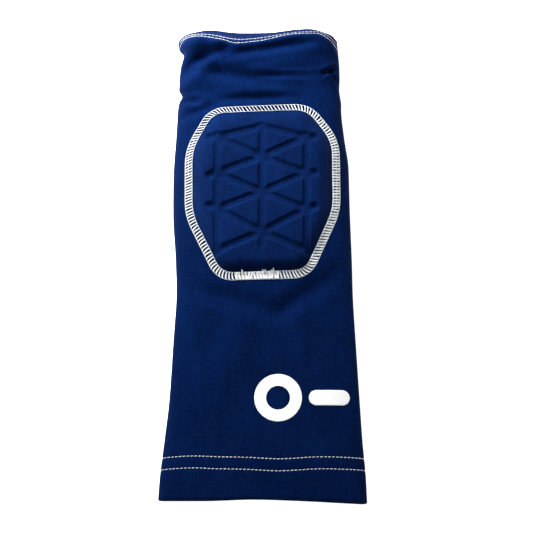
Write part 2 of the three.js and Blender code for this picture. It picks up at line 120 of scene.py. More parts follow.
def patternGroup(name, sizes):
    # a group that reads a place in a piece's map and some sizes, and gives a height and a shade
    group = bpy.data.node_groups.new(name, "ShaderNodeTree")
    group.interface.new_socket(name="Place", in_out="INPUT", socket_type="NodeSocketVector")
    for label, size in sizes.items():
        socket = group.interface.new_socket(name=label, in_out="INPUT", socket_type="NodeSocketFloat")
        socket.default_value = size
    for label in ("Height", "Shade"):
        group.interface.new_socket(name=label, in_out="OUTPUT", socket_type="NodeSocketFloat")
    start, end = group.nodes.new("NodeGroupInput"), group.nodes.new("NodeGroupOutput")
    split = group.nodes.new("ShaderNodeSeparateXYZ")
    group.links.new(start.outputs["Place"], split.inputs[0])
    return group, start, end, split.outputs


def mathNode(tree, operation, *values):
    node = tree.nodes.new("ShaderNodeMath")
    node.operation = operation
    for i, value in enumerate(values):
        if isinstance(value, (int, float)):
            node.inputs[i].default_value = value
        else:
            tree.links.new(value, node.inputs[i])
    return node.outputs[0]


def noiseNode(tree, vector, size, detail=2.0):
    node = tree.nodes.new("ShaderNodeTexNoise")
    node.inputs["Scale"].default_value = 1 / size
    node.inputs["Detail"].default_value = detail
    tree.links.new(vector, node.inputs["Vector"])
    return node.outputs["Fac"]


def mixNode(tree, factor, first, second):
    node = tree.nodes.new("ShaderNodeMix")
    node.data_type = "RGBA"
    tree.links.new(factor, node.inputs["Factor"])
    for socket, value in ((node.inputs["A"], first), (node.inputs["B"], second)):
        if isinstance(value, tuple):
            socket.default_value = (*value, 1)
        else:
            tree.links.new(value, socket)
    return node.outputs["Result"]


def bumpNode(tree, height, distance):
    node = tree.nodes.new("ShaderNodeBump")
    node.inputs["Distance"].default_value = distance * toMetres
    node.inputs["Strength"].default_value = 1.0
    tree.links.new(height, node.inputs["Height"])
    return node.outputs["Normal"]


def mapOf(tree, name):
    node = tree.nodes.new("ShaderNodeUVMap")
    node.uv_map = name
    return node.outputs["UV"]


def patternNode(tree, pattern, mapName):
    # the outputs of a pattern group that reads the piece's map
    node = tree.nodes.new("ShaderNodeGroup")
    node.node_tree = pattern
    tree.links.new(mapOf(tree, mapName), node.inputs["Place"])
    return node.outputs


jerseyKnit = {
    "column": 0.45,
    "loop": 0.36,
    "bend": 0.8,
    "loopHeight": 0.3,
    "contrast": 1.4,
    "offset": -4.54,
    "gapShade": 0.55,
    "shadeRange": 0.55,
    "roughnessRange": 0.1,
}

# Noises of the jersey's shade: the size of their grains across and along in millimetres, their
# detail and their share. Slow blotches, yarns along and across, and a fine grain.
jerseyNoises = [
    (9.0, 60.0, 3.0, 1.0),
    (34.0, 34.0, 2.0, 1.0),
    (0.9, 9.0, 2.0, 1.3),
    (7.0, 0.8, 2.0, 1.3),
    (0.7, 0.7, 2.0, 2.6),
]


# Jersey: columns of V-shaped loops. The rib across a column is 1 - t squared, with t from -1 to 1,
# and each loop is a sine along the column, delayed by |t| so that it bends into a V.
def jerseyGroup():
    sizes = {"Column": jerseyKnit["column"], "Loop": jerseyKnit["loop"]}
    group, start, end, place = patternGroup("jersey", sizes)

    def math(operation, *values):
        return mathNode(group, operation, *values)

    column = math("DIVIDE", place["X"], start.outputs["Column"])
    share = math("SUBTRACT", math("FRACT", column), 0.5)
    fromMiddle = math("MULTIPLY", math("ABSOLUTE", share), 2.0)
    rib = math("SUBTRACT", 1.0, math("MULTIPLY", fromMiddle, fromMiddle))
    course = math("DIVIDE", place["Y"], start.outputs["Loop"])
    delayed = math("ADD", course, math("MULTIPLY", fromMiddle, jerseyKnit["bend"]))
    wave = math("SINE", math("MULTIPLY", delayed, 2 * np.pi))
    loops = math("MULTIPLY_ADD", wave, jerseyKnit["loopHeight"], 1 - jerseyKnit["loopHeight"])
    group.links.new(math("MULTIPLY", rib, loops), end.inputs["Height"])

    total = 0.0
    for across, along, detail, part in jerseyNoises:
        scaled = group.nodes.new("ShaderNodeVectorMath")
        scaled.operation = "MULTIPLY"
        scaled.inputs[1].default_value = (1 / across, 1 / along, 1.0)
        group.links.new(start.outputs["Place"], scaled.inputs[0])
        total = math("MULTIPLY_ADD", noiseNode(group, scaled.outputs[0], 1.0, detail), part, total)
    clamp = group.nodes.new("ShaderNodeClamp")
    shade = math("MULTIPLY_ADD", total, jerseyKnit["contrast"], jerseyKnit["offset"])
    group.links.new(shade, clamp.inputs["Value"])
    group.links.new(clamp.outputs[0], end.inputs["Shade"])
    return group


# Thread: two plies wound round each other, as slanting bands, and a little fuzz. twist, fuzz and bump
# are in millimetres, and the others are shares of the height and the shade.
twistedThread = {
    "twist": 0.9, "fuzz": 0.25, "bump": 0.08, "plyHeight": 0.35, "fuzzHeight": 0.5, "plyShade": 0.3,
}


def threadGroup():
    sizes = {"Twist": twistedThread["twist"], "Fuzz": twistedThread["fuzz"]}
    group, start, end, place = patternGroup("twistedThread", sizes)
    turns = mathNode(group, "DIVIDE", place["Y"], start.outputs["Twist"])
    slanting = mathNode(group, "ADD", turns, place["X"])
    plies = mathNode(group, "SINE", mathNode(group, "MULTIPLY", slanting, 2 * np.pi))
    fuzz = group.nodes.new("ShaderNodeTexNoise")
    group.links.new(start.outputs["Place"], fuzz.inputs["Vector"])
    group.links.new(mathNode(group, "DIVIDE", 1.0, start.outputs["Fuzz"]), fuzz.inputs["Scale"])
    fuzzy = mathNode(group, "MULTIPLY", fuzz.outputs["Fac"], twistedThread["fuzzHeight"])
    height = mathNode(group, "MULTIPLY_ADD", plies, twistedThread["plyHeight"], fuzzy)
    group.links.new(height, end.inputs["Height"])
    # painted shade: darker between the plies, where the height is low
    shade = mathNode(group, "MULTIPLY_ADD", plies, twistedThread["plyShade"], 0.5)
    group.links.new(shade, end.inputs["Shade"])
    return group


knitLooks = {
    "navyKnit": {
        "colour": (0.0008, 0.0142, 0.0860), "shadow": (0.0003, 0.0064, 0.0430), "roughness": 0.86,
        "specular": 0.025, "sheen": 0.025, "sheenTint": (0.12, 0.35, 1.0), "bump": 0.09,
    },
    "padKnit": {
        "colour": (0.0009, 0.0148, 0.0860), "shadow": (0.0004, 0.0070, 0.0440), "roughness": 0.84,
        "specular": 0.035, "sheen": 0.035, "sheenTint": (0.12, 0.35, 1.0), "bump": 0.08,
    },
}


def knitMaterial(name, jersey):
    # darker and rougher between the loops: the colour there is painted shade in the gaps
    look = knitLooks[name]
    material, shader, tree = newMaterial(name, {
        "Base Color": look["colour"], "Roughness": look["roughness"],
        "Specular IOR Level": look["specular"], "Sheen Weight": look["sheen"],
        "Sheen Roughness": 0.5, "Sheen Tint": look["sheenTint"],
    })
    knit = patternNode(tree, jersey, "cloth")
    mottled = mixNode(tree, knit["Shade"], look["shadow"], look["colour"])
    # painted shade: the gaps between the loops, where the height is low, take a darker colour
    paintedGapShade = tuple(jerseyKnit["gapShade"] * value for value in look["shadow"])
    shades, roughnesses = jerseyKnit["shadeRange"], jerseyKnit["roughnessRange"]
    raised = mathNode(tree, "MULTIPLY_ADD", knit["Height"], shades, 1 - shades)
    tree.links.new(mixNode(tree, raised, paintedGapShade, mottled), shader.inputs["Base Color"])
    roughest = look["roughness"] + roughnesses / 2
    rough = mathNode(tree, "MULTIPLY_ADD", knit["Height"], -roughnesses, roughest)
    tree.links.new(rough, shader.inputs["Roughness"])
    tree.links.new(bumpNode(tree, knit["Height"], look["bump"]), shader.inputs["Normal"])
    return material


threadLooks = {
    "whiteThread": {"colour": (0.84, 0.87, 0.88), "shadow": (0.58, 0.615, 0.64)},
    # painted light: a brighter copy of the white thread, for the overlap, which the key light reaches
    # less
    "paintedLightThread": {"colour": (0.97, 0.97, 0.97), "shadow": (0.86, 0.87, 0.88)},
}


def threadMaterial(name, thread):
    look = threadLooks[name]
    material, shader, tree = newMaterial(name, {
        "Base Color": (0.8, 0.8, 0.8), "Roughness": 0.6, "Specular IOR Level": 0.3, "Sheen Weight": 0.15,
    })
    plies = patternNode(tree, thread, "thread")
    # the group's Shade paints shade between the plies
    mixed = mixNode(tree, plies["Shade"], look["shadow"], look["colour"])
    tree.links.new(mixed, shader.inputs["Base Color"])
    bump = bumpNode(tree, plies["Height"], twistedThread["bump"])
    tree.links.new(bump, shader.inputs["Normal"])
    return material


filmLook = {
    "colour": (0.95, 0.95, 0.95), "worn": (0.86, 0.87, 0.88), "roughness": 0.32, "roughnessRange": 0.2,
    "patch": 6.0, "grain": 0.5, "bump": 0.03,
}


def filmMaterial():
    # worn and smoother in patches, with a fine grain
    material, shader, tree = newMaterial("whiteFilm", {
        "Base Color": (0.93, 0.93, 0.93), "Roughness": 0.42, "Specular IOR Level": 0.4,
    })
    place = mapOf(tree, "film")
    patches = noiseNode(tree, place, filmLook["patch"], 3.0)
    colour = mixNode(tree, patches, filmLook["worn"], filmLook["colour"])
    tree.links.new(colour, shader.inputs["Base Color"])
    rough = mathNode(tree, "MULTIPLY_ADD", patches, filmLook["roughnessRange"], filmLook["roughness"])
    tree.links.new(rough, shader.inputs["Roughness"])
    grain = bumpNode(tree, noiseNode(tree, place, filmLook["grain"]), filmLook["bump"])
    tree.links.new(grain, shader.inputs["Normal"])
    return material


# Grids and meshes

def gridQuads(rows, columns):
    # the quads between the vertices of a grid that is numbered row by row
    corner = np.arange(rows - 1)[:, None] * columns + np.arange(columns - 1)
    return np.stack([corner, corner + 1, corner + columns + 1, corner + columns], -1).reshape(-1, 4)


def ringQuads(rows, columns, closedRows=False):
    # quads of a grid whose columns close on themselves, and its rows too if asked, with the numbers
    # of the map's points, which don't close
    mapped = gridQuads(rows + closedRows, columns + 1)
    row, column = np.divmod(mapped, columns + 1)
    return (row % rows) * columns + column % columns, mapped


def endCaps(rows, columns):
    # the faces that close both ends of such a grid
    ring = np.arange(columns)
    return np.stack([ring[::-1], (rows - 1) * columns + ring])


def addMesh(name, points, faces, material, mapName, mapCorners):
    # faces: arrays of vertex numbers, one array for each number of corners
    # mapCorners: the map's place at each corner of each face, in the same order
    mesh = bpy.data.meshes.new(name)
    corners = np.concatenate([group.ravel() for group in faces]).astype(np.int32)
    sizes = np.concatenate([np.full(len(group), group.shape[1]) for group in faces])
    starts = np.concatenate([[0], np.cumsum(sizes)[:-1]]).astype(np.int32)
    mesh.vertices.add(len(points))
    mesh.vertices.foreach_set("co", (points * toMetres).astype(np.float32).ravel())
    mesh.loops.add(len(corners))
    mesh.loops.foreach_set("vertex_index", corners)
    mesh.polygons.add(len(sizes))
    mesh.polygons.foreach_set("loop_start", starts)
    mesh.polygons.foreach_set("use_smooth", np.ones(len(sizes), bool))
    mesh.update(calc_edges=True)
    layer = mesh.uv_layers.new(name=mapName)
    places = np.concatenate([group.reshape(-1, 2) for group in mapCorners]).astype(np.float32)
    layer.uv.foreach_set("vector", places.ravel())
    mesh.validate()
    mesh.materials.append(material)
    piece = bpy.data.objects.new(name, mesh)
    scene.collection.objects.link(piece)
    triangles = int((sizes - 2).sum())
    print(f"{name}: {len(points)} vertices, {triangles} triangles")
    return piece


def table(columns, *rows):
    return {name: np.array(values) for name, values in zip(columns.split(), zip(*rows))}


# The shapes start here

def smoothStep(value):
    share = np.clip(value, 0, 1)
    return share * share * (3 - 2 * share)


def unit(vectors):
    return vectors / np.maximum(np.linalg.norm(vectors, axis=-1, keepdims=True), 1e-9)


def lengthAlong(points, axis=0):
    # running length of lines of points, from 0 at the first point
    steps = np.linalg.norm(np.diff(points, axis=axis), axis=-1)
    return np.concatenate([0 * steps.take([0], axis), np.cumsum(steps, axis=axis)], axis=axis)


def curveThrough(rows, place, column):
    # a cubic through each pair of rows, whose slope at a row is the harmonic mean of its neighbours'
    at, value = rows[place], rows[column]
    steps = np.diff(value) / np.diff(at)
    before = np.concatenate([steps[:1], steps])
    after = np.concatenate([steps, steps[-1:]])
    total = np.where(before * after > 0, before + after, 1)
    slopes = np.where(before * after > 0, 2 * before * after / total, 0)

    def curve(x):
        inside = np.clip(x, at[0], at[-1])
        i = np.clip(np.searchsorted(at, inside, side="right") - 1, 0, len(steps) - 1)
        span = at[i + 1] - at[i]
        t = (inside - at[i]) / span
        u = 1 - t
        ends = value[i] * u * u * (1 + 2 * t) + value[i + 1] * t * t * (1 + 2 * u)
        return ends + span * t * u * (slopes[i] * u - slopes[i + 1] * t)

    return curve


# Sleeve: the same sizes and tables as the solid that it replaces, and then finer folds.

sleeve = {
    "length": 288.0,
    "upperArmWidth": 122.0,
    "forearmWidth": 97.0,
    "cloth": 1.0,
    "hemCloth": 2.0,
    "hemStep": 1.0,
    "upperArmHem": 25.4,
    "forearmHem": 19.0,
    "crownHeight": 28.0,
    "sideFoldRadius": 6.0,
    "foldWidth": 4.2,
    "foldDepth": 2.5,
    "ridgeHeight": 0.4,
    "ridgePlace": 1.8,
    "endWave": 6.0,
    "topSteps": 130,
    "foldSteps": 10,
    "backSteps": 12,
    "rimSteps": 4,
}

sections = table(
    "at left right crown side square",
    (0.0, 1.0, 1.002, 0.37, 0.6, 6.5),
    (0.05, 0.995, 1.002, 0.37, 0.6, 6.5),
    (0.13, 0.967, 0.987, 0.377, 0.62, 6.2),
    (0.22, 0.938, 0.979, 0.39, 0.66, 6),
    (0.33, 0.928, 0.97, 0.43, 0.74, 5),
    (0.42, 0.918, 0.964, 0.495, 0.84, 5),
    (0.5, 0.945, 0.972, 0.57, 0.92, 5.5),
    (0.6, 1.0, 0.977, 0.607, 1.0, 6),
    (0.7, 1.02, 0.988, 0.616, 1.0, 6),
    (0.76, 1.013, 0.957, 0.614, 1.0, 6),
    (0.82, 1.01, 0.936, 0.607, 1.0, 5.5),
    (0.838, 1.0, 0.94, 0.615, 1.0, 5),
    (0.853, 0.966, 0.93, 0.632, 1.0, 4.8),
    (0.866, 1.008, 0.924, 0.655, 1.05, 4.6),
    (0.89, 1.01, 0.935, 0.712, 1.1, 4.4),
    (0.915, 1.0, 0.938, 0.785, 1.15, 4.4),
    (0.938, 0.968, 0.932, 0.855, 1.25, 4.6),
    (0.955, 1.035, 0.93, 0.885, 1.5, 5),
    (0.97, 1.055, 0.932, 0.76, 1.4, 4.6),
    (0.985, 1.045, 0.938, 0.55, 1.0, 3.8),
    (1.0, 0.95, 0.853, 0.37, 0.6, 3.2),
)

# How much later along the sleeve the crumpled end's crest comes towards the sides.
crest = table(
    "across later",
    (-1.0, 0.0), (-0.86, 0.01), (-0.62, 0.003), (-0.28, -0.001), (0.0, 0.0025), (0.22, 0.0075),
    (0.46, 0.0105), (0.7, 0.0115), (0.85, 0.013), (1.0, 0.0),
)
crestFrom = 0.9

# How far each hem's edge stands back from the end, as a share of endWave.
forearmEdge = table(
    "across back",
    (-1.0, 1.1), (-0.9, 0.42), (-0.68, 0.16), (-0.22, 0.56), (0.12, 0.5), (0.5, 0.12), (0.72, 0.0),
    (0.9, 0.42), (1.0, 1.2),
)
upperArmEdge = table(
    "across back",
    (-1.0, 0.3), (-0.6, 0.3), (-0.1, 0.45), (0.4, 0.3), (0.8, 0.1), (1.0, 0.0),
)

# Each fold's middle, half length as a share of the forearm width, and width, depth and turn.
folds = table(
    "at across reach width depth turn",
    (0.942, 0.08, 0.33, 0.65, 1.2, 9),
    (0.912, -0.86, 0.15, 1.0, 2.8, 40),
    (0.934, -0.62, 0.13, 0.6, 1.3, 16),
    (0.957, -0.74, 0.17, 1.5, -0.8, 0),
    (0.964, 0.62, 0.24, 1.3, -0.7, 4),
    (0.888, -0.38, 0.24, 0.8, 0.8, -8),
    (0.9, 0.88, 0.06, 0.34, 2.0, 24),
    (0.885, 0.94, 0.07, 0.36, 1.9, -58),
    (0.84, -0.04, 0.22, 0.55, 0.8, 2),
    (0.838, -0.9, 0.09, 0.5, 1.4, -8),
    (0.81, -0.78, 0.13, 0.6, 0.9, 20),
    (0.415, -0.35, 0.3, 1.3, 0.6, -16),
    (0.43, 0.5, 0.28, 1.2, 0.7, 35),
    (0.887, 0.33, 0.18, 0.35, 0.5, 0),
    (0.915, 0.3, 0.2, 0.9, -0.5, 12),
    (0.3, 0.05, 0.4, 3.0, 0.3, 84),
    (0.36, -0.55, 0.3, 2.5, 0.3, 60),
)

# Slow waves that keep the cloth from lying dead flat. turn: direction in degrees.
clothWaves = table(
    "length turn phase height",
    (61.0, 82, 0.3, 0.20),
    (43.0, 57, 2.1, 0.15),
    (37.0, 121, 4.0, 0.12),
    (26.0, 96, 5.2, 0.08),
    (19.0, 30, 1.2, 0.05),
    (15.0, 148, 3.3, 0.04),
)

leftShare, rightShare, crownShare, sideShare, squareness = [
    curveThrough(sections, "at", name) for name in ("left", "right", "crown", "side", "square")
]
forearmBack = curveThrough(forearmEdge, "across", "back")
upperArmBack = curveThrough(upperArmEdge, "across", "back")
crestLater = curveThrough(crest, "across", "later")


def edgesAt(y):
    at = np.clip(y / sleeve["length"] + 0.5, 0, 1)
    half = (sleeve["upperArmWidth"] * (1 - at) + sleeve["forearmWidth"] * at) / 2
    return -half * leftShare(at), half * rightShare(at)


def endY(across):
    return sleeve["length"] / 2 - sleeve["endWave"] * forearmBack(across)


def startY(across):
    return -sleeve["length"] / 2 + sleeve["endWave"] * upperArmBack(across)


def clothPlace(x, y):
    left, right = edgesAt(y)
    across = np.clip((2 * x - left - right) / (right - left), -1, 1)
    along = np.clip((y - startY(across)) / (endY(across) - startY(across)), 0, 1)
    return across, along


def foldsAt(x, y, across):
    # each fold is a bell-shaped valley with a soft ridge on either side, fading out along its reach
    height = np.zeros_like(x)
    ridge = sleeve["ridgePlace"]
    for at, place, reach, width, depth, turn in zip(*folds.values()):
        foldY = (at - 0.5) * sleeve["length"]
        left, right = edgesAt(foldY)
        dx = x - (left + right) / 2 - place * (right - left) / 2
        dy = y - foldY
        cosine, sine = np.cos(np.radians(turn)), np.sin(np.radians(turn))
        onLine = (dx * cosine + dy * sine) / (reach * sleeve["forearmWidth"])
        off = (dy * cosine - dx * sine) / (width * sleeve["foldWidth"])
        ridges = np.exp(-((off - ridge) ** 2)) + np.exp(-((off + ridge) ** 2))
        profile = sleeve["ridgeHeight"] * ridges - np.exp(-off * off)
        height += depth * sleeve["foldDepth"] * profile * np.exp(-(onLine ** 4))
    return height * np.sqrt(1 - across * across)


def wavesAt(x, y, across):
    height = np.zeros_like(x)
    for length, turn, phase, rise in zip(*clothWaves.values()):
        run = x * np.cos(np.radians(turn)) + y * np.sin(np.radians(turn))
        height += rise * np.sin(2 * np.pi * run / length + phase)
    return height * (1 - across ** 4)


def sideRadius(along):
    return sleeve["sideFoldRadius"] * sideShare(along)


def clothTop(x, y):
    # side + (crown - side) * (1 - |across| ** square) ** 0.5, and the folds and waves on top of that
    across, along = clothPlace(x, y)
    side = sideRadius(along)
    share = np.clip((along - crestFrom) / (1 - crestFrom), 0, 1)
    held = along - crestLater(across) * 4 * share * (1 - share)
    rise = np.sqrt(np.clip(1 - np.abs(across) ** squareness(held), 0, 1))
    crown = sleeve["crownHeight"] * crownShare(held)
    return side + (crown - side) * rise + foldsAt(x, y, across) + wavesAt(x, y, across)


# Stations round the sleeve, from the middle of the back over the left fold, the top and the right
# fold back to the middle of the back.
def stationsAround():
    back = np.sin(np.pi / 2 * np.arange(sleeve["backSteps"]) / sleeve["backSteps"])
    turn = np.pi / 2 * np.arange(1, sleeve["foldSteps"] + 1) / sleeve["foldSteps"]
    top = np.sin(np.pi / 2 * np.linspace(-1, 1, sleeve["topSteps"] + 1))
    ones = np.ones_like(turn)
    across = np.concatenate([-back, -ones, top, ones, back[:0:-1]])
    turns = np.concatenate([0 * back, turn[::-1], 0 * top, turn, 0 * back[1:]])
    layer = np.concatenate([0 * back, ones, 2 + 0 * top, ones, 0 * back[1:]])
    return {"across": across, "turn": turns, "onBack": layer == 0, "onTop": layer == 2}


def outerPoints(along, around):
    # the outer face at shares of the length and stations, which are broadcast against each other
    across, turn = around["across"], around["turn"]
    y = startY(across) * (1 - along) + endY(across) * along
    left, right = edgesAt(y)
    side = sideRadius(along)
    inward = np.where(around["onBack"], side, side * (1 - np.cos(turn)))
    x = (left + right) / 2 + across * ((right - left) / 2 - inward)
    low = np.where(around["onBack"], 0 * x, side * (1 - np.sin(turn)))
    return np.stack([x, y, np.where(around["onTop"], clothTop(x, y), low)], -1)


# Rows along the sleeve. to: share of the length. spacing: millimetres of cloth between rows.
rowRuns = table(
    "to spacing",
    (0.1, 0.6),
    (0.36, 2.0),
    (0.8, 1.7),
    (0.9, 1.0),
    (1.0, 0.65),
)


def rowPlaces():
    fine = np.linspace(1 / sleeve["length"], 1, 3001)
    zero = np.zeros(1)
    middle = {"across": zero, "turn": zero, "onBack": zero > 0, "onTop": zero == 0}
    line = outerPoints(fine[:, None], middle)[:, 0]
    steps = np.linalg.norm(np.diff(line, axis=0), axis=1)
    spacing = rowRuns["spacing"][np.searchsorted(rowRuns["to"], fine[1:] - 1e-9)]
    count = np.concatenate([[0], np.cumsum(steps / spacing)])
    return np.interp(np.linspace(0, count[-1], int(count[-1]) + 1), count, fine)


def distancesAlong(points):
    # cloth length from the upper-arm end to each point of the grid, and on to the forearm end
    fromStart = lengthAlong(points)
    return fromStart, fromStart[-1] - fromStart


def distancesAround(points):
    # cloth length round each row, counted from the middle of the top
    length = lengthAlong(np.concatenate([points, points[:, :1]], axis=1), axis=1)
    middle = sleeve["backSteps"] + sleeve["foldSteps"] + sleeve["topSteps"] // 2
    return length - length[:, middle][:, None]


def gridNormals(points):
    around = np.roll(points, -1, axis=1) - np.roll(points, 1, axis=1)
    return unit(np.cross(around, np.gradient(points, axis=0)))


def clothGrid():
    # the stations, the outer face's points and normals, and their distances from both ends
    around = stationsAround()
    points = outerPoints(rowPlaces()[:, None], around)
    return around, points, gridNormals(points), distancesAlong(points)


# Hem stitches: two lines on each hem, at a distance from its edge, with a wave across the sleeve.
hemStitch = {
    "pitch": 2.3,
    "halfHeight": 0.17,
    "arch": 0.45,
    "clearance": 0.02,
    "slant": 0.12,
    "dimple": 0.3,
    "dimpleWidth": 0.75,
    "rings": 7,
    "sides": 6,
}
hemLines = table(
    "fromForearm distance halfWidth length",
    (0, 18.2, 0.22, 1.6),
    (0, 25.2, 0.22, 1.6),
    (1, 9.0, 0.1, 2.2),
    (1, 16.0, 0.1, 2.2),
)

# How far each of those lines wanders from its distance, across the top.
hemWander = table(
    "across first second third fourth",
    (-1.0, -1.4, -1.4, -6.0, -8.0),
    (-0.68, -0.7, -0.7, 0.8, 0.2),
    (-0.4, -1.6, -1.6, 1.0, 0.5),
    (0.0, -2.9, -2.9, 1.2, 0.3),
    (0.1, -3.1, -3.1, 0.8, 0.0),
    (0.6, -0.7, -0.7, 0.5, 0.0),
    (0.85, -0.2, -0.2, -0.5, -1.5),
    (1.0, 0.0, 0.0, -6.0, -8.0),
)
wanders = [curveThrough(hemWander, "across", name) for name in list(hemWander)[1:]]


def hemDistances(around):
    # each line's distance from the hem's edge at each station; on the back its wander fades away
    fading = np.where(around["onBack"], np.abs(around["across"]) ** 4, 1)
    shifts = [wander(around["across"]) * fading for wander in wanders]
    ends, distances = hemLines["fromForearm"], hemLines["distance"]
    return [(end, distance + shift) for end, distance, shift in zip(ends, distances, shifts)]


def hemDimples(fromStart, fromEnd, around):
    # a bell-shaped groove along each line of stitches
    depth = np.zeros_like(fromStart)
    for fromForearm, distance in hemDistances(around):
        off = (fromEnd if fromForearm else fromStart) - distance
        depth += hemStitch["dimple"] * np.exp(-((off / hemStitch["dimpleWidth"]) ** 2))
    return depth


def clothDepth(fromStart, fromEnd):
    # cloth once thick, and twice in the hems, with a smooth step between
    start = 1 - smoothStep((fromStart - sleeve["upperArmHem"]) / sleeve["hemStep"] + 0.5)
    end = 1 - smoothStep((fromEnd - sleeve["forearmHem"]) / sleeve["hemStep"] + 0.5)
    return sleeve["cloth"] + (sleeve["hemCloth"] - sleeve["cloth"]) * np.maximum(start, end)


# Pad and seam

pad = {
    "width": 88.5,
    "length": 103.0,
    "centreShare": 0.643,
    "cornerRounding": 9.0,
    "cornerSteps": 24,
    "edgeThickness": 1.6,
    "rise": 6.2,
    "ramp": 11.0,
    "lowerRamp": -3.0,
    "lowerReach": 0.4,
    "shoulderPower": 2.4,
    "bandRise": 0.7,
    "gap": 0.3,
    "rings": 110,
    "underRings": 12,
    "spokes": 480,
}
pad["centreY"] = (pad["centreShare"] - 0.5) * sleeve["length"]

groove = {
    "spread": 26.5,
    "shift": -0.4,
    "depth": 1.45,
    "floor": 0.8,
    "wall": 2.2,
    "blend": 0.6,
    "pitDepth": 0.5,
    "pitReach": 2.2,
    "pitFrom": 4.2,
    "nubPitDepth": 0.95,
    "nubPitFrom": 4.2,
    "sideRise": 0.09,
    "nubLength": 4.8,
    "fadeLength": 7.0,
    "topShare": 0.728,
}

# Corners of the seam's centre line, anticlockwise, as shares of the pad's half width and length.
padCorners = table(
    "x y",
    (-0.692, 0.949), (-0.998, 0.485), (-0.993, -0.292), (-0.58, -1.018),
    (0.603, -0.987), (0.997, -0.238), (0.988, 0.596), (0.623, 0.994),
)

# Rows of the lattice, as shares of the pad's half length. leftNub, rightNub: how far the short
# groove outside each side groove climbs, as a share of its length.
latticeRows = table(
    "side spine leftNub rightNub",
    (0.602, 0.369, 0.1, 0.0),
    (0.177, -0.048, -0.35, 0.0),
    (-0.25, -0.52, 0.5, 0.3),
    (-0.737, -0.76, 0.0, 0.0),
)

seam = {
    "width": 4.4,
    "points": 360,
    "strandHalfHeight": 0.24,
    "strandArch": 0.16,
    "twinShare": 0.85,
    "twinTaper": 0.3,
    "endDip": 0.3,
    "rungRings": 11,
    "chainHalfWidth": 0.065,
    "chainCoil": 0.09,
    "chainTurn": 1.8,
    "stepsPerTurn": 7,
    "sides": 6,
    "placeJitter": 0.06,
    "slantJitter": 0.05,
    "edgeShare": 0.94,
    "edgeLift": 0.05,
    "middleShare": 0.06,
    "middleLift": 0.3,
    "middleSpans": ((0.085, 0.16), (0.64, 0.79)),
}

# The run of denser stitches where the stitching starts and stops, between two places in x, and its
# cut ends, in three tufts.
overlap = {
    "from": -15.2,
    "to": 9.2,
    "below": 0.4,
    "pitch": 1.55,
    "strand": 0.34,
    "lift": 0.4,
    "slant": 0.1,
    "placeJitter": 0.25,
    "slantJitter": 0.2,
    "edgeShare": 0.85,
    "edgeLift": 0.3,
    "past": 1.5,
}
frayed = {
    "rings": 8,
    "curl": 0.75,
    "lean": 1.2,
    "reach": (1.6, 3.0),
    "height": (0.5, 1.4),
    "spread": 0.8,
    "inset": 1.2,
    "lift": 0.9,
    "halfWidth": 0.13,
}
tufts = table("x hairs", (-12.2, 3), (0.9, 5), (6.2, 3))

# The stitching at shares of the seam's length, anticlockwise from the pad's upper left corner: the
# band's width, the distance between rungs, how far a rung leans along the seam for each millimetre
# across it, how far its ends run on along the edges in opposite ways and in the same way, and half
# the width of each of its strands.
stitching = table(
    "share width pitch slant foot bow strand",
    (0.0, 3.4, 1.95, 0.65, 0.3, 0, 0.14),
    (0.068, 3.9, 1.85, 0.6, 0.5, 0, 0.17),
    (0.17, 4.6, 1.72, 0.25, 0.7, 0, 0.2),
    (0.25, 4.6, 1.85, 0.1, 0.4, 0.3, 0.21),
    (0.31, 4.7, 1.95, 0.2, 0.3, 0.6, 0.23),
    (0.38, 4.8, 1.95, 0.15, 0.3, 0.5, 0.25),
    (0.44, 5.0, 1.9, 0.2, 0.4, 0, 0.28),
    (0.52, 4.9, 1.9, 0.4, 0.5, 0, 0.29),
    (0.58, 4.8, 1.85, 0.42, 0.7, 0, 0.29),
    (0.7, 4.8, 1.7, 0.05, 0.8, 0, 0.28),
    (0.81, 4.3, 1.75, 0.1, 0.6, 0, 0.23),
    (0.87, 3.8, 1.95, 0.4, 0.4, 0, 0.16),
    (0.93, 3.4, 2.15, 0.62, 0.3, 0, 0.12),
    (1.0, 3.4, 1.95, 0.65, 0.3, 0, 0.14),
)


def seamLine():
    # corners joined by straight lines, each rounded by a quadratic Bezier curve that starts and
    # ends at most cornerRounding away from it, then spaced evenly
    shares = np.stack([padCorners["x"], padCorners["y"]], -1)
    corner = shares * (pad["width"] / 2, pad["length"] / 2) + (0, pad["centreY"])

    def towards(other):
        reach = np.minimum(pad["cornerRounding"], np.linalg.norm(other - corner, axis=1) / 2)
        return corner + unit(other - corner) * reach[:, None]

    enter, leave = towards(np.roll(corner, 1, axis=0)), towards(np.roll(corner, -1, axis=0))
    t = np.linspace(0, 1, pad["cornerSteps"] + 1)[None, :, None]
    curves = enter[:, None] * (1 - t) ** 2 + 2 * corner[:, None] * t * (1 - t) + leave[:, None] * t * t
    line = curves.reshape(-1, 2)
    closed = np.concatenate([line, line[:1]])
    arc = lengthAlong(closed)
    even = np.linspace(0, arc[-1], seam["points"] + 1)
    return np.stack([np.interp(even, arc, closed[:, k]) for k in range(2)], -1), arc[-1]


seamPath, seamLength = seamLine()
seamRun = np.roll(seamPath[:-1], -1, axis=0) - np.roll(seamPath[:-1], 1, axis=0)
seamOut = unit(np.stack([seamRun[:, 1], -seamRun[:, 0]], -1))
seamOut = np.concatenate([seamOut, seamOut[:1]])


def onSeam(along, outwards):
    # the point at a distance along the seam's centre line, moved outwards
    at = (along / seamLength) % 1 * seam["points"]
    numbers = np.arange(seam["points"] + 1)
    x, y = (np.interp(at, numbers, seamPath[:, k]) for k in range(2))
    outX, outY = (np.interp(at, numbers, seamOut[:, k]) for k in range(2))
    return x + outwards * outX, y + outwards * outY


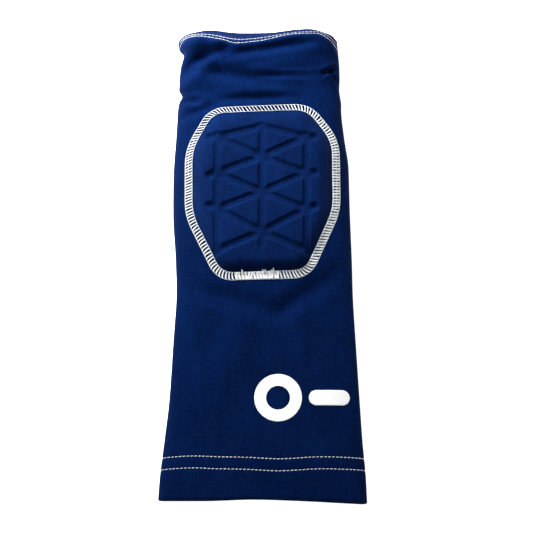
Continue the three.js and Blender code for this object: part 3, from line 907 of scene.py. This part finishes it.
def seamDistance(x, y):
    # signed distance from the seam's centre line, negative inside: the line is convex, so this is
    # the largest distance beyond any of its short straight parts. Also the outward direction there.
    best = np.full(np.shape(x), -1e9)
    outX, outY = np.zeros_like(best), np.zeros_like(best)
    for start, end in zip(seamPath[:-1], seamPath[1:]):
        run = (end - start) / np.hypot(*(end - start))
        distance = (x - start[0]) * run[1] - (y - start[1]) * run[0]
        nearer = distance > best
        best = np.where(nearer, distance, best)
        outX = np.where(nearer, run[1], outX)
        outY = np.where(nearer, -run[0], outY)
    return best, outX, outY


def grooveLines():
    # start, end and free ends of every groove: a spine, two side grooves, slanting grooves between
    # them and short nubs. A groove fades out towards a free end. Also the place and depth of the
    # pits, a little way into each slanting groove from either end, and in each nub.
    def place(x, share):
        return np.array([x, pad["centreY"] + share * pad["length"] / 2])

    rows = list(zip(*latticeRows.values()))
    spine = groove["shift"]
    lines = [(place(spine, groove["topShare"]), place(spine, rows[-1][1]), 0, 1)]
    pits = []
    for side in (-1, 1):
        sideX = spine + side * groove["spread"]
        lines.append((place(sideX, rows[0][0] + groove["sideRise"]), place(sideX, rows[-1][0]), 1, 0))
        above = groove["topShare"]
        for sideHere, spineHere, leftNub, rightNub in rows:
            node = place(sideX, sideHere)
            slanting = [(place(spine, above), node), (node, place(spine, spineHere))]
            above = spineHere
            if sideHere == rows[-1][0]:
                slanting = slanting[:1]
            else:
                climb = leftNub if side < 0 else rightNub
                nub = node + groove["nubLength"] * np.array([side, climb])
                lines.append((node, nub, 0, 0))
                pits.append((node + groove["nubPitFrom"] * unit(nub - node), groove["nubPitDepth"]))
            for start, end in slanting:
                lines.append((start, end, 0, 0))
                inset = groove["pitFrom"] * unit(end - start)
                pits += [(start + inset, groove["pitDepth"]), (end - inset, groove["pitDepth"])]
    return lines, pits


def groovesAt(x, y):
    # soft channels: depth falls from the floor's half width to the wall's foot by a smooth step of
    # the distance to the nearest line, where the nearest two are blended by a soft minimum
    lines, pits = grooveLines()
    total = np.zeros_like(x)
    for start, end, freeStart, freeEnd in lines:
        run = end - start
        length = np.hypot(*run)
        share = np.clip(((x - start[0]) * run[0] + (y - start[1]) * run[1]) / length ** 2, 0, 1)
        distance = np.hypot(x - start[0] - share * run[0], y - start[1] - share * run[1])
        toStart = np.clip(1 - share * length / groove["fadeLength"], 0, 1) * freeStart
        toEnd = np.clip(1 - (1 - share) * length / groove["fadeLength"], 0, 1) * freeEnd
        fade = (groove["floor"] + groove["wall"]) * (toStart ** 2 + toEnd ** 2)
        total += np.exp(-(distance + fade) / groove["blend"])
    distance = -groove["blend"] * np.log(np.maximum(total, 1e-30))
    depth = groove["depth"] * (1 - smoothStep((distance - groove["floor"]) / groove["wall"]))
    for pit, pitDepth in pits:
        near = ((x - pit[0]) ** 2 + (y - pit[1]) ** 2) / groove["pitReach"] ** 2
        depth += pitDepth * np.exp(-near)
    return depth


def padTop(x, y):
    # cloth + a low rise under the seam + a steep shoulder 1 - (1 - share) ** power, less the grooves.
    # The shoulder is steeper at the pad's lower end, where lowerRamp is added to its width.
    inward = -seamDistance(x, y)[0]
    low = (pad["centreY"] - y) / (pad["length"] * pad["lowerReach"])
    ramp = pad["ramp"] + pad["lowerRamp"] * smoothStep(low)
    share = np.clip((inward - seam["width"] / 2 - pad["gap"]) / ramp, 0, 1)
    shoulder = (pad["rise"] - pad["bandRise"]) * (1 - (1 - share) ** pad["shoulderPower"])
    return bandTop(x, y) + shoulder - groovesAt(x, y)


def bandTop(x, y):
    inward = -seamDistance(x, y)[0]
    return clothTop(x, y) + pad["bandRise"] * smoothStep(inward / (seam["width"] / 2))


# Sleeve mesh: outer face, rounded rim at the forearm end, inner face, rounded rim at the other end,
# as one grid that closes both ways. The window for the pad is cut out and its edge is closed.

def sleevePiece(material):
    around, points, normals, (fromStart, fromEnd) = clothGrid()
    mapU = distancesAround(points)
    points = points - normals * hemDimples(fromStart, fromEnd, around)[..., None]

    keep = windowCells(points, around)
    points = snapToWindow(points, keep)
    inner = points - normals * clothDepth(fromStart, fromEnd)[..., None]
    rows, columns = points.shape[:2]
    forearmRim = rimLoops(points[-1], inner[-1], points[-1] - points[-2])
    upperArmRim = rimLoops(inner[0], points[0], points[0] - points[1])
    loops = np.concatenate([points, forearmRim, inner[::-1], upperArmRim])
    quads, mapped = ringQuads(len(loops), columns, closedRows=True)
    lastRow = len(forearmRim) + 2 * rows
    kept = np.ones((len(loops), columns), bool)
    kept[: rows - 1] = keep
    kept[rows + len(forearmRim) : lastRow - 1] = keep[::-1]

    # the map runs on over each rim, which takes three millimetres of it, and closes both ways
    rimSteps, end = sleeve["rimSteps"], fromStart[-1]
    rim = np.repeat(np.linspace(0.5, 2.5, rimSteps)[:, None], columns, axis=1)
    inside = 2 * end + 3 - fromStart[::-1]
    mapV = np.concatenate([fromStart, end + rim, inside, -rim[::-1], fromStart[:1]])
    mapV = np.concatenate([mapV, mapV[:, :1]], axis=1)
    forearmU, upperArmU = np.repeat(mapU[-1:], rimSteps, 0), np.repeat(mapU[:1], rimSteps + 1, 0)
    mapU = np.concatenate([mapU, forearmU, mapU[::-1], upperArmU])
    places = np.stack([mapU, mapV], -1).reshape(-1, 2)
    quads, mapped = quads[kept.ravel()], mapped[kept.ravel()]

    # walls round the window, from the outer face's edge to the inner face's
    outerRow, innerRow = np.arange(rows), lastRow - 1 - np.arange(rows)
    r, c = np.nonzero(keep)
    walls = []
    corners = [(0, 0), (0, 1), (1, 1), (1, 0)]
    for k, (stepRow, stepColumn) in enumerate([(-1, 0), (0, 1), (1, 0), (0, -1)]):
        nextRow, nextColumn = r + stepRow, (c + stepColumn) % columns
        inside = (nextRow >= 0) & (nextRow < rows - 1)
        edge = inside & ~keep[np.clip(nextRow, 0, rows - 2), nextColumn]
        a, b = corners[k], corners[(k + 1) % 4]
        ra, ca = r[edge] + a[0], (c[edge] + a[1]) % columns
        rb, cb = r[edge] + b[0], (c[edge] + b[1]) % columns
        wall = [outerRow[rb] * columns + cb, outerRow[ra] * columns + ca]
        wall += [innerRow[ra] * columns + ca, innerRow[rb] * columns + cb]
        walls.append(np.stack(wall, -1))
    walls = np.concatenate(walls)

    flat = loops.reshape(-1, 3)
    used, numbers = np.unique(np.concatenate([quads, walls]), return_inverse=True)
    numbers = numbers.reshape(-1, 4)
    faces = [numbers[: len(quads)], numbers[len(quads) :]]
    maps = [places[mapped], flat[walls][..., :2]]
    return addMesh("sleeveKnit", flat[used], faces, material, "cloth", maps)


def rimLoops(first, last, outwards):
    # half circles from one face's edge to the other's, bulging along the cloth
    turn = np.pi * np.arange(1, sleeve["rimSteps"] + 1)[:, None, None] / (sleeve["rimSteps"] + 1)
    half = (first - last) / 2
    bulge = unit(outwards) * np.linalg.norm(half, axis=-1, keepdims=True)
    return (first + last) / 2 + half * np.cos(turn) + bulge * np.sin(turn)


def windowCells(points, around):
    # True for each cell of the grid that stays: all but those of the top inside the seam's line
    middle = (points[:-1] + points[1:]) / 2
    middle = (middle + np.roll(middle, -1, axis=1)) / 2
    outside = seamDistance(middle[..., 0], middle[..., 1])[0] > pad["gap"] / 2
    return outside | ~around["onTop"]


def snapToWindow(points, keep):
    # corners shared by kept and dropped cells move onto the window's outline
    def atCorners(cells):
        grid = np.zeros(points.shape[:2], bool)
        grid[:-1] |= cells
        grid[1:] |= cells
        return grid | np.roll(grid, 1, axis=1)

    border = atCorners(keep) & atCorners(~keep)
    x, y = points[border][:, 0], points[border][:, 1]
    distance, outX, outY = seamDistance(x, y)
    shift = pad["gap"] / 2 - distance
    x, y = x + shift * outX, y + shift * outY
    moved = points.copy()
    moved[border] = np.stack([x, y, clothTop(x, y)], -1)
    return moved


# Pad mesh: rings of points from the middle out to a rim under the seam, and an underside.

def padPiece(material):
    angle = np.arange(pad["spokes"]) / pad["spokes"] * seamLength
    rimX, rimY = onSeam(angle, -pad["gap"] / 2)

    def face(shares, heightAt):
        x = shares[:, None] * rimX
        y = pad["centreY"] + shares[:, None] * (rimY - pad["centreY"])
        return np.stack([x, y, heightAt(x, y)], -1)

    def underside(x, y):
        return clothTop(x, y) - pad["edgeThickness"]

    top = face(np.arange(1, pad["rings"] + 1) / pad["rings"], padTop)
    under = face(np.arange(1, pad["underRings"] + 1) / pad["underRings"], underside)
    loops = np.concatenate([top, under[::-1]])
    quads = ringQuads(len(loops), pad["spokes"])[0][:, ::-1]
    poles = np.array([[0, pad["centreY"], 0.0], [0, pad["centreY"], 0.0]])
    poles[0, 2] = padTop(poles[0, :1], poles[0, 1:2])[0]
    poles[1, 2] = underside(poles[1, :1], poles[1, 1:2])[0]
    flat = np.concatenate([loops.reshape(-1, 3), poles])
    first = np.arange(pad["spokes"])
    after = (first + 1) % pad["spokes"]
    lastLoop = (len(loops) - 1) * pad["spokes"]
    topCap = np.stack([first, after, np.full_like(first, len(flat) - 2)], -1)
    underCap = np.stack([lastLoop + after, lastLoop + first, np.full_like(first, len(flat) - 1)], -1)
    faces = [quads, np.concatenate([topCap, underCap])]
    return addMesh("padCover", flat, faces, material, "cloth", [flat[group][..., :2] for group in faces])


# Threads: flattened tubes with flat ends. centres: strands by rings by 3. ups: which way is up there.

def threadTubes(centres, ups, halfWidth, halfHeight, sides):
    tangent = unit(np.gradient(centres, axis=1))
    side = unit(np.cross(tangent, ups))
    up = np.cross(side, tangent)
    turn = 2 * np.pi * np.arange(sides) / sides
    wide = side[:, :, None] * np.cos(turn)[:, None] * halfWidth
    high = up[:, :, None] * np.sin(turn)[:, None] * halfHeight
    points = centres[:, :, None] + wide + high
    strands, rings = centres.shape[:2]
    quads, mapped = ringQuads(rings, sides)
    offsets = np.arange(strands)[:, None, None] * rings * sides
    arc = lengthAlong(centres, axis=1)[:, :, None]
    share = np.arange(sides + 1) / sides
    place = np.stack(np.broadcast_arrays(share, arc), -1).reshape(strands, -1, 2)
    faces = [(quads + offsets).reshape(-1, 4), (endCaps(rings, sides) + offsets).reshape(-1, sides)]
    maps = [place[:, mapped].reshape(-1, 2), np.zeros((2 * strands * sides, 2))]
    return points.reshape(-1, 3), faces, maps


def joinThreads(name, parts, material):
    # several sets of tubes as one mesh: all sides, then all ends
    starts = np.cumsum([0] + [len(points) for points, _, _ in parts])
    points = np.concatenate([part[0] for part in parts])
    faces = [np.concatenate([part[1][k] + start for part, start in zip(parts, starts)]) for k in range(2)]
    maps = [np.concatenate([part[2][k] for part in parts]) for k in range(2)]
    return addMesh(name, points, faces, material, "thread", maps)


def seamTubes(x, y, z, halfWidth, halfHeight):
    # tubes along the last axis of x, y and z
    centres = np.stack([x, y, z], -1).reshape(-1, x.shape[-1], 3)
    return threadTubes(centres, np.array([0.0, 0.0, 1.0]), halfWidth, halfHeight, seam["sides"])


def stitchAt(along, column):
    return curveThrough(stitching, "share", column)(along / seamLength % 1)


def rungs(places, lift, slants, strands):
    # Each rung is two strands side by side. With t from -1 to 1 it crosses the band by the sine of
    # t's quarter turn, leans along the seam by slant times that, by foot times t to the fifth and
    # by bow times t squared as it nears the edges, where it dips into the cloth.
    t = np.linspace(-1, 1, seam["rungRings"])
    strands = strands[:, None, None]
    across = (stitchAt(places, "width")[:, None, None] / 2 - strands) * np.sin(np.pi / 2 * t)
    twin = seam["twinShare"] * np.array([-1, 1])[:, None] * strands * (1 - seam["twinTaper"] * t ** 4)
    foot, bow = (stitchAt(places, column)[:, None, None] for column in ("foot", "bow"))
    lean = slants[:, None, None] * across + foot * t ** 5 + bow * t * t
    along = places[:, None, None] + twin + lean
    x, y = onSeam(along, across + 0 * along)
    arch = seam["strandArch"] * (1 - t * t) - seam["endDip"] * t ** 8
    z = bandTop(x, y) + seam["strandHalfHeight"] + lift + arch
    return seamTubes(x, y, z, np.repeat(strands, 2)[:, None, None, None], seam["strandHalfHeight"])


def chains(start, end, shares, lift):
    # two thin strands coiled round each other along the band, at shares of its half width
    count = int((end - start) / seam["chainTurn"] * seam["stepsPerTurn"])
    along = start + (end - start) * np.arange(count) / count
    phase = 2 * np.pi * along / seam["chainTurn"] + np.pi * np.array([0, 1])[:, None]
    out = np.array(shares)[:, None, None] * stitchAt(along, "width") / 2
    x, y = onSeam(along + 0 * phase, out + seam["chainCoil"] * np.cos(phase))
    z = bandTop(x, y) + lift + seam["chainHalfWidth"] + seam["chainCoil"] * (1 + np.sin(phase))
    return seamTubes(x, y, z, seam["chainHalfWidth"], seam["chainHalfWidth"])


def frayedEnds(random):
    # cut ends of thread that curl up out of the overlap, leaning towards the pad
    t = np.linspace(0, 1, frayed["rings"])
    curl = np.sin(np.pi * frayed["curl"] * t)
    lines = []
    for tuftX, hairs in zip(*tufts.values()):
        for _ in range(int(hairs)):
            lean = random.uniform(-frayed["lean"], frayed["lean"])
            reach = random.uniform(*frayed["reach"])
            height = random.uniform(*frayed["height"])
            start = seamPlace(tuftX) + random.uniform(-frayed["spread"], frayed["spread"])
            outwards = -seam["width"] / 2 + frayed["inset"] - reach * t
            x, y = onSeam(start + lean * t * t, outwards)
            lines.append([x, y, bandTop(x, y) + frayed["lift"] + height * curl])
    return seamTubes(*np.array(lines).transpose(1, 0, 2), frayed["halfWidth"], frayed["halfWidth"])


def seamPlace(x):
    # distance along the seam to the point of its lower side that lies at x
    lower = seamPath[:-1, 1] < pad["centreY"] - overlap["below"] * pad["length"]
    return np.argmin(np.where(lower, np.abs(seamPath[:-1, 0] - x), 1e9)) / seam["points"] * seamLength


def seamPiece(material, paintedLightMaterial):
    # rungs round the whole seam, spaced by the pitch there, with chains along its edges and in places
    # down its middle, and then the overlap
    random = np.random.default_rng(5)
    fine = np.linspace(0, seamLength, 2001)
    passed = np.concatenate([[0], np.cumsum(np.diff(fine) / stitchAt(fine[1:] - 0.01, "pitch"))])
    count = int(round(passed[-1]))
    places = np.interp(np.arange(count) * passed[-1] / count, passed, fine)
    places += random.normal(0, seam["placeJitter"], count)
    slants = stitchAt(places, "slant") + random.normal(0, seam["slantJitter"], count)
    parts = [rungs(places, 0.0, slants, stitchAt(places, "strand"))]
    parts.append(chains(0, seamLength, [-seam["edgeShare"], seam["edgeShare"]], seam["edgeLift"]))
    for span in seam["middleSpans"]:
        parts.append(chains(*np.array(span) * seamLength, [seam["middleShare"]], seam["middleLift"]))
    start, end = seamPlace(overlap["from"]), seamPlace(overlap["to"])
    extra = int((end - start) / overlap["pitch"])
    places = np.linspace(start, end, extra) + random.normal(0, overlap["placeJitter"], extra)
    slants = random.normal(overlap["slant"], overlap["slantJitter"], extra)
    edges = [-overlap["edgeShare"], overlap["edgeShare"]]
    extras = [
        rungs(places, overlap["lift"], slants, np.full(extra, overlap["strand"])),
        chains(start - overlap["past"], end + overlap["past"], edges, overlap["edgeLift"]),
        frayedEnds(random),
    ]
    # the overlap's threads take the brighter copy of the thread, which is painted light
    return joinThreads("seamThreads", parts, material), joinThreads("seamOverlap", extras, paintedLightMaterial)


def hemStitchPiece(material):
    # a short flattened stitch every pitch, whose ends dip into the cloth by arch * (2t - 1) ** 6
    around, points, normals, distances = clothGrid()
    base = hemStitch["halfHeight"] - hemStitch["dimple"] + hemStitch["clearance"]
    parts = []
    sizes = zip(hemLines["halfWidth"], hemLines["length"])
    for (fromForearm, distance), (halfWidth, length) in zip(hemDistances(around), sizes):
        away = distances[int(fromForearm)]
        line = atDistance(points, away, distance)
        up = atDistance(normals, away, distance)
        line, up = np.concatenate([line, line[:1]]), np.concatenate([up, up[:1]])
        arc = lengthAlong(line)
        count = int(round(arc[-1] / hemStitch["pitch"]))
        start = np.arange(count)[:, None] * arc[-1] / count
        t = np.linspace(0, 1, hemStitch["rings"])
        at = (start + t * length) % arc[-1]
        centres = np.stack([np.interp(at, arc, line[:, k]) for k in range(3)], -1)
        ups = unit(np.stack([np.interp(at, arc, up[:, k]) for k in range(3)], -1))
        lift = base - hemStitch["arch"] * (2 * t - 1) ** 6
        across = unit(np.cross(ups, np.gradient(centres, axis=1)))
        centres = centres + ups * lift[:, None] + across * (hemStitch["slant"] * (2 * t - 1))[:, None]
        parts.append(threadTubes(centres, ups, halfWidth, hemStitch["halfHeight"], hemStitch["sides"]))
    return joinThreads("hemStitches", parts, material)


def atDistance(values, away, distance):
    # the grid's values where the distance from the hem's edge is the one given, column by column
    rising = away if away[0, 0] < away[-1, 0] else away[::-1]
    ordered = values if away[0, 0] < away[-1, 0] else values[::-1]
    row = np.clip((rising < distance).sum(0), 1, len(rising) - 1)
    column = np.arange(values.shape[1])
    low, high = rising[row - 1, column], rising[row, column]
    share = ((distance - low) / (high - low))[:, None]
    return ordered[row - 1, column] * (1 - share) + ordered[row, column] * share


# Print: a ring with a bar beside it, laid on the cloth as a thin film.

film = {
    "fromHem": 36.0,
    "fromEdge": 6.0,
    "barLength": 24.0,
    "barWidth": 9.0,
    "ringDiameter": 28.0,
    "ringBand": 7.0,
    "spacing": 4.0,
    "thickness": 0.16,
    "edgeThickness": 0.55,
    "edgeRounding": 0.35,
    "clearance": 0.02,
    "ringSteps": 120,
    "barSteps": 60,
    "barTip": 0.05,
}
filmAcross = np.concatenate([[0, 0.03], np.linspace(0.08, 0.92, 12), [0.97, 1]])
printY = -sleeve["length"] / 2 + sleeve["upperArmHem"] + film["fromHem"]
printRight = edgesAt(np.array(printY))[1] - film["fromEdge"]


def filmLoops(x, y):
    # rows of points across the film: over its top, whose edges are rounded down, and back below it
    share = np.linspace(0, 1, x.shape[1])
    edge = np.minimum(share, 1 - share) * np.hypot(x[:, -1] - x[:, 0], y[:, -1] - y[:, 0])[:, None]
    thin = film["edgeThickness"]
    thick = film["thickness"] * (thin + (1 - thin) * smoothStep(edge / film["edgeRounding"]))
    low = clothTop(x, y) + film["clearance"]
    top = np.stack([x, y, low + thick], -1)
    under = np.stack([x, y, low], -1)
    return np.concatenate([top, under[:, ::-1]], axis=1)


def printRingPiece(material):
    angle = 2 * np.pi * np.arange(film["ringSteps"])[:, None] / film["ringSteps"]
    outer = film["ringDiameter"] / 2
    radius = outer - film["ringBand"] * (1 - filmAcross)
    centreX = printRight - film["barLength"] - film["spacing"] - outer
    loops = filmLoops(centreX + radius * np.cos(angle), printY + radius * np.sin(angle))
    quads = ringQuads(*loops.shape[:2], closedRows=True)[0]
    flat = loops.reshape(-1, 3)
    return addMesh("printRing", flat, [quads], material, "film", [flat[quads][..., :2]])


def printBarPiece(material):
    # rows of points across a bar with round ends
    halfLength, halfWidth = film["barLength"] / 2, film["barWidth"] / 2
    x = -halfLength * np.cos(np.pi * np.arange(film["barSteps"] + 1) / film["barSteps"])[:, None]
    past = np.maximum(0, np.abs(x) - (halfLength - halfWidth))
    half = np.maximum(film["barTip"], np.sqrt(np.maximum(0, halfWidth ** 2 - past ** 2)))
    loops = filmLoops(printRight - halfLength + x + 0 * filmAcross, printY + half * (1 - 2 * filmAcross))
    flat = loops.reshape(-1, 3)
    faces = [ringQuads(*loops.shape[:2])[0], endCaps(*loops.shape[:2])]
    return addMesh("printBar", flat, faces, material, "film", [flat[group][..., :2] for group in faces])


# The shapes end here

addCamera()
addLights()
addFloor()
print("camera, light and floor are in place")

jersey = jerseyGroup()
navyKnit = knitMaterial("navyKnit", jersey)
padKnit = knitMaterial("padKnit", jersey)
thread = threadGroup()
whiteThread = threadMaterial("whiteThread", thread)
paintedLightThread = threadMaterial("paintedLightThread", thread)
whiteFilm = filmMaterial()
print("materials are made")

sleeveKnit = sleevePiece(navyKnit)
padCover = padPiece(padKnit)
seamThreads, seamOverlap = seamPiece(whiteThread, paintedLightThread)
hemStitches = hemStitchPiece(whiteThread)
printRing = printRingPiece(whiteFilm)
printBar = printBarPiece(whiteFilm)

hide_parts("sleeve")
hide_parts("elbow_pad")
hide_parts("pad_seam")
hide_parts("print_ring")
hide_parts("print_bar")
slots = {
    "navy_knit": [sleeveKnit],
    "pad_knit": [padCover],
    "white_thread": [seamThreads, seamOverlap, hemStitches],
    "white_print": [printRing, printBar],
}
for slotName, pieces in slots.items():
    for piece in pieces:
        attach(piece, "root")
print("pieces ride on the frame")
